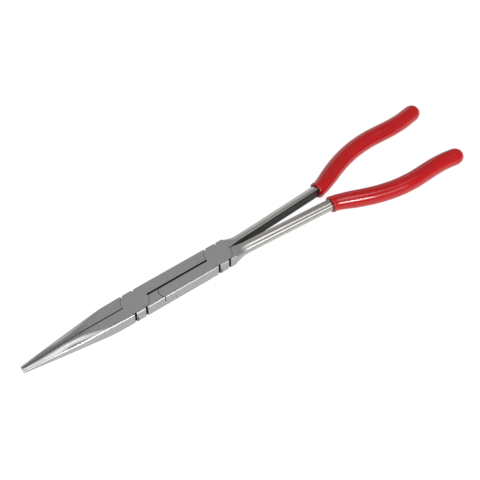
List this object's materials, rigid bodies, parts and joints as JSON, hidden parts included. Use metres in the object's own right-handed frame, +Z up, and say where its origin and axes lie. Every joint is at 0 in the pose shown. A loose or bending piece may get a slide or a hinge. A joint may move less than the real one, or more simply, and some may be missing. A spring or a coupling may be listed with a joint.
{
  "type": "double-joint needle-nose pliers",
  "caption": "Long-reach needle-nose pliers with a double joint: slim handles in dipped grips open long toothed jaws through two crossed pairs of levers.",
  "frame": {"origin": "middle of the footprint at the height of the surface that the grips lie on, jaws closed", "axes": "+X from the jaw tips towards the handle ends, +Y towards the right-hand grip, +Z up out of the flat of the joints"},
  "size_m": [0.3371, 0.0611, 0.0121],
  "materials": {
    "ground_steel": "satin ground",
    "polished_steel": "bright polished, forge-dark inner faces",
    "rivet_steel": "ground flush",
    "red_vinyl": "glossy dipped PVC"
  },
  "bodies": {
    "right_handle": {"right_handle": "polished_steel", "right_grip": "red_vinyl", "handle_rivet": "rivet_steel", "left_link_pin": "rivet_steel"},
    "left_handle": {"left_handle": "polished_steel", "left_grip": "red_vinyl"},
    "right_jaw": {"right_jaw": "ground_steel"},
    "left_jaw": {"left_jaw": "ground_steel", "jaw_rivet": "rivet_steel", "right_link_pin": "rivet_steel"}
  },
  "joints": [
    {"name": "handle_pivot", "type": "hinge", "parent": "right_handle", "child": "left_handle", "pos_m": [-0.026, 0, 0.00605], "axis": [0, 0, -1], "range_deg": [0, 20]},
    {"name": "left_link", "type": "hinge", "parent": "right_handle", "child": "right_jaw", "pos_m": [-0.0681, -0.0044, 0.00605], "axis": [0, 0, -1], "range_deg": [0, 30.9]},
    {"name": "right_link", "type": "hinge", "parent": "left_handle", "child": "left_jaw", "pos_m": [-0.0681, 0.0044, 0.00605], "axis": [0, 0, 1], "range_deg": [0, 30.9]}
  ],
  "couplings": [
    {"joint": "left_link", "follows": "handle_pivot", "ratio": 1.54},
    {"joint": "right_link", "follows": "handle_pivot", "ratio": 1.54}
  ]
}
